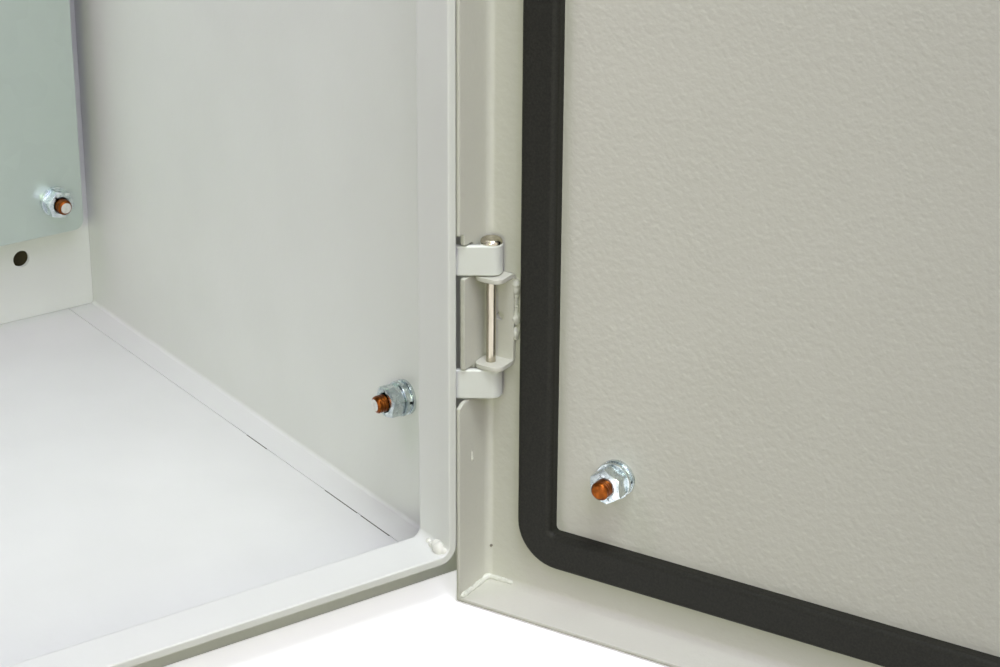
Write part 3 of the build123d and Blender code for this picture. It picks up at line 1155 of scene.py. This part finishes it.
def seen_rays(tree: bpy.types.NodeTree) -> bpy.types.NodeSocket:
    """Give a value of one for the rays that show the pale background: camera, mirror and glass rays.

    Args:
        tree: Tree of the floor or the world.

    Returns:
        The output with that value.
    """
    path = add_node(tree, "ShaderNodeLightPath")
    mirror = add_node(
        tree,
        "ShaderNodeMath",
        {0: path.outputs["Is Glossy Ray"], 1: path.outputs["Is Transmission Ray"]},
        operation="MAXIMUM",
    )
    seen = add_node(
        tree,
        "ShaderNodeMath",
        {0: path.outputs["Is Camera Ray"], 1: mirror.outputs[0]},
        operation="MAXIMUM",
    )
    return seen.outputs[0]


def sheet(name: str, shape: bmesh.types.BMesh) -> tuple[bpy.types.Object, bpy.types.NodeTree]:
    """Put a flat mesh into the scene, with a material that has yet to be filled.

    Args:
        name: Name of the sheet and its material.
        shape: Its mesh, in metres. It is freed.

    Returns:
        The sheet and the empty tree of its material.
    """
    mesh = bpy.data.meshes.new(name)
    shape.to_mesh(mesh)
    shape.free()
    material = bpy.data.materials.new(name)
    mesh.materials.append(material)
    thing = bpy.data.objects.new(name, mesh)
    bpy.context.scene.collection.objects.link(thing)
    return thing, emptied(material)


@dataclass
class Studio:
    """Pale floor, soft light and the camera of the photograph.

    Lengths are in millimetres, angles in degrees, and the sizes of the sheet of painted shade are shares of
    the rear panel.
    """

    eye: tuple[float, float, float] = (-157.784, -725.325, 387.74)
    azimuth: float = 35.397
    pitch: float = 23.044
    roll: float = -0.357
    focal_pixels: float = 2452.31
    frame_width: float = 1000.0
    sensor: float = 36.0
    bounce: str = "6A6452"
    side_glow: float = 0.08
    top_glow: float = 0.11
    back_glow: float = 0.5
    floor_colour: str = "F4F4F2"
    floor_glow: float = 0.55
    floor_gap: float = 0.3
    floor_reach: float = 6000.0
    # colour, gap and size of the dark sheet of painted shade behind the rear panel
    shade_sheet_colour: str = "4A4534"
    shade_sheet_gap: float = 6.0
    shade_sheet_width: float = 0.92
    shade_sheet_height: float = 0.95

    def camera(self) -> None:
        """Set the camera at the photograph's viewing angle."""
        turn, dip, roll = (math.radians(v) for v in (self.azimuth, self.pitch, self.roll))
        ahead = Vector(
            (math.sin(turn) * math.cos(dip), math.cos(turn) * math.cos(dip), -math.sin(dip))
        )
        level = Vector((math.cos(turn), -math.sin(turn), 0.0))
        down = ahead.cross(level)
        right = level * math.cos(roll) + down * math.sin(roll)
        below = down * math.cos(roll) - level * math.sin(roll)
        lens = bpy.data.cameras.new("camera")
        lens.sensor_width = self.sensor
        lens.lens = self.focal_pixels / self.frame_width * self.sensor
        lens.clip_start = 0.01
        camera = bpy.data.objects.new("camera", lens)
        rotation = Matrix((right, -below, -ahead)).transposed().to_4x4()
        camera.matrix_world = Matrix.Translation(Vector(self.eye) * MM) @ rotation
        bpy.context.scene.collection.objects.link(camera)
        bpy.context.scene.camera = camera

    def lamp(
        self,
        name: str,
        place: tuple[float, float, float],
        aim: tuple[float, float, float],
        size: float,
        power: float,
        colour: str,
        spread: float = 180.0,
        mirrored: bool = True,
    ) -> None:
        """Hang one soft square lamp.

        Args:
            name: Its name.
            place: Where it hangs, in metres.
            aim: Point that it faces, in metres.
            size: Its side, in metres.
            power: Its power in watts.
            colour: Its sRGB colour.
            spread: Full angle of its beam in degrees.
            mirrored: Whether smooth surfaces show a glint of it.
        """
        light = bpy.data.lights.new(name, "AREA")
        light.size = size
        light.energy = power
        light.spread = math.radians(spread)
        light.color = linear(colour)[:3]
        lamp = bpy.data.objects.new(name, light)
        lamp.location = place
        lamp.visible_glossy = mirrored
        lamp.rotation_mode = "QUATERNION"
        lamp.rotation_quaternion = (Vector(aim) - Vector(place)).to_track_quat("-Z", "Y")
        bpy.context.scene.collection.objects.link(lamp)

    def light(self) -> None:
        """Hang the lamps and light the room."""
        self.lamp("front", (-0.5, -1.8, 1.5), (-0.1, 0.0, 0.1), 1.0, 3.2, "E2D6FF", 80)
        self.lamp("top", (0.05, -0.9, 2.0), (0.2, -0.25, 0.05), 0.8, 4.9, "FAFFFE", 70)
        self.lamp("front_right", (0.95, -2.2, 0.6), (0.1, -0.1, 0.2), 0.9, 3.0, "FFEFC8")
        self.lamp("left", (-0.9, -1.3, 0.5), (0.25, 0.0, 0.12), 0.4, 0.42, "FAFFD8", 35)
        self.lamp("inside", (-0.05, -0.055, 0.52), (0.05, 0.12, 0.05), 0.12, 0.72, "F6DEFF", mirrored=False)
        world = bpy.data.worlds.new("room")
        tree = emptied(world)
        place = add_node(tree, "ShaderNodeTexCoord")
        ways = add_node(tree, "ShaderNodeSeparateXYZ", {0: place.outputs["Generated"]}).outputs
        ambient = ranged(tree, ways["Z"], (0.0, 0.7), (self.side_glow, self.top_glow))
        # a brighter wall behind shows the back, which no lamp reaches
        behind = ranged(tree, ways["Y"], (0.2, 0.9), (0.0, self.back_glow))
        glow = add_node(tree, "ShaderNodeMath", {0: ambient, 1: behind}, operation="ADD")
        strength = add_node(
            tree,
            "ShaderNodeMix",
            {0: seen_rays(tree), 2: glow.outputs[0], 3: 1.0},
            data_type="FLOAT",
        )
        sky = add_node(
            tree,
            "ShaderNodeBackground",
            {"Color": (1.0, 1.0, 1.0, 1.0), "Strength": strength.outputs[0]},
        )
        add_node(tree, "ShaderNodeOutputWorld", {"Surface": sky.outputs[0]})
        bpy.context.scene.world = world

    def floor(self) -> None:
        """Lay the pale floor, which shows white where nothing shades it and is clear from below."""
        shape = bmesh.new()
        bmesh.ops.create_grid(shape, x_segments=1, y_segments=1, size=self.floor_reach * MM)
        bmesh.ops.translate(shape, vec=(0.0, 0.0, -self.floor_gap * MM), verts=shape.verts)
        ground, tree = sheet("floor", shape)
        matt = add_node(tree, "ShaderNodeBsdfDiffuse", {"Color": linear(self.floor_colour)})
        glow = add_node(tree, "ShaderNodeEmission", {"Strength": self.floor_glow})
        lit = add_node(tree, "ShaderNodeAddShader", {0: matt.outputs[0], 1: glow.outputs[0]})
        dim = add_node(tree, "ShaderNodeBsdfDiffuse", {"Color": linear(self.bounce)})
        mix = add_node(
            tree,
            "ShaderNodeMixShader",
            {0: seen_rays(tree), 1: dim.outputs[0], 2: lit.outputs[0]},
        )
        side = add_node(tree, "ShaderNodeNewGeometry")
        clear = add_node(tree, "ShaderNodeBsdfTransparent")
        laid = add_node(
            tree,
            "ShaderNodeMixShader",
            {0: side.outputs["Backfacing"], 1: mix.outputs[0], 2: clear.outputs[0]},
        )
        add_node(tree, "ShaderNodeOutputMaterial", {"Surface": laid.outputs[0]})

    def painted_shade_backdrop(self) -> None:
        """Hang a dark sheet of painted shade behind the rear panel, seen only through the fixing holes from
        the front.
        """
        low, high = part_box("rear_panel")
        shape = bmesh.new()
        bmesh.ops.create_grid(shape, x_segments=1, y_segments=1, size=0.5)
        size = (self.shade_sheet_width * (high.x - low.x), self.shade_sheet_height * (high.z - low.z), 1.0)
        bmesh.ops.scale(shape, vec=size, verts=shape.verts)
        middle = ((low.x + high.x) / 2, high.y + self.shade_sheet_gap * MM, (low.z + high.z) / 2)
        upright = Matrix.Translation(middle) @ Matrix.Rotation(math.radians(90), 4, "X")
        bmesh.ops.transform(shape, matrix=upright, verts=shape.verts)
        shade_sheet, tree = sheet("painted_shade_backdrop", shape)
        side = add_node(tree, "ShaderNodeNewGeometry")
        path = add_node(tree, "ShaderNodeLightPath")
        shown = add_node(
            tree,
            "ShaderNodeMath",
            {0: path.outputs["Is Camera Ray"], 1: side.outputs["Backfacing"]},
            operation="SUBTRACT",
            use_clamp=True,
        )
        # the sheet's dark front is painted shade, standing for the shade behind the cabinet
        front = add_node(tree, "ShaderNodeBsdfDiffuse", {"Color": linear(self.shade_sheet_colour)})
        clear = add_node(tree, "ShaderNodeBsdfTransparent")
        mix = add_node(
            tree,
            "ShaderNodeMixShader",
            {0: shown.outputs[0], 1: clear.outputs[0], 2: front.outputs[0]},
        )
        add_node(tree, "ShaderNodeOutputMaterial", {"Surface": mix.outputs[0]})

    def build(self) -> None:
        """Set up the whole studio."""
        self.camera()
        self.light()
        self.floor()
        self.painted_shade_backdrop()
        view = bpy.context.scene.view_settings
        view.view_transform = "Standard"


def main() -> None:
    """Build the cabinet's looks in order."""
    logging.basicConfig(level=logging.INFO, format="%(message)s")
    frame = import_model()
    studio = Studio()
    studio.build()
    palette = Palette()
    shop = Workshop(frame, palette)
    door_nodes = set(frame["record"]["behaviour"]["bodies"]["door"])
    for part in frame["record"]["subparts"]:
        name = part["node"]
        material = palette.by_slot[part["material_slot"]]
        # parts of the door take the darker copy of the paint, which paints in the door's shade
        if name in door_nodes and material is palette.body_paint:
            material = palette.door_paint_shaded
        stem = name.removesuffix("_lower").removesuffix("_upper")
        shop.dress(name, material, EDGES.get(stem, 0.0))
    fastener = Fastener()
    EarthPoint("body", Body.CABINET, fastener, 12.0, palette.glinting_tip).build(shop)
    EarthPoint("door", Body.DOOR, fastener, 35.0, palette.copper).build(shop)
    rear, up = Vector((0, -1, 0)), Vector((0, 0, 1))
    small = Fastener(radius=2.5, pitch=0.8, flats=8.0, height=4.0, tip=0.7, crest=0.14)
    FastenerSet("plate_studs", fastener, (2, 1, 2), rear, Body.CABINET).studs(
        shop, palette.copper, Slot.COPPER, palette.glinting_tip
    )
    FastenerSet("gland_studs", small, (3, 2, 1), up, Body.CABINET).studs(
        shop, palette.zinc, Slot.ZINC, palette.zinc
    )
    for name, kind, count, axis in (
        ("plate_front_nuts", fastener, (2, 1, 2), rear),
        ("plate_back_nuts", fastener, (2, 1, 2), rear),
        ("gland_nuts", small, (3, 2, 1), up),
    ):
        FastenerSet(name, kind, count, axis, Body.CABINET).nuts(shop, palette.zinc, Slot.ZINC)
    hinge = next(j for j in frame["joints"] if j["name"] == "door_hinge")
    PaintedDetails(DoorSwing(Vector(hinge["pos_m"]))).build(shop)


if __name__ == "__main__":
    main()
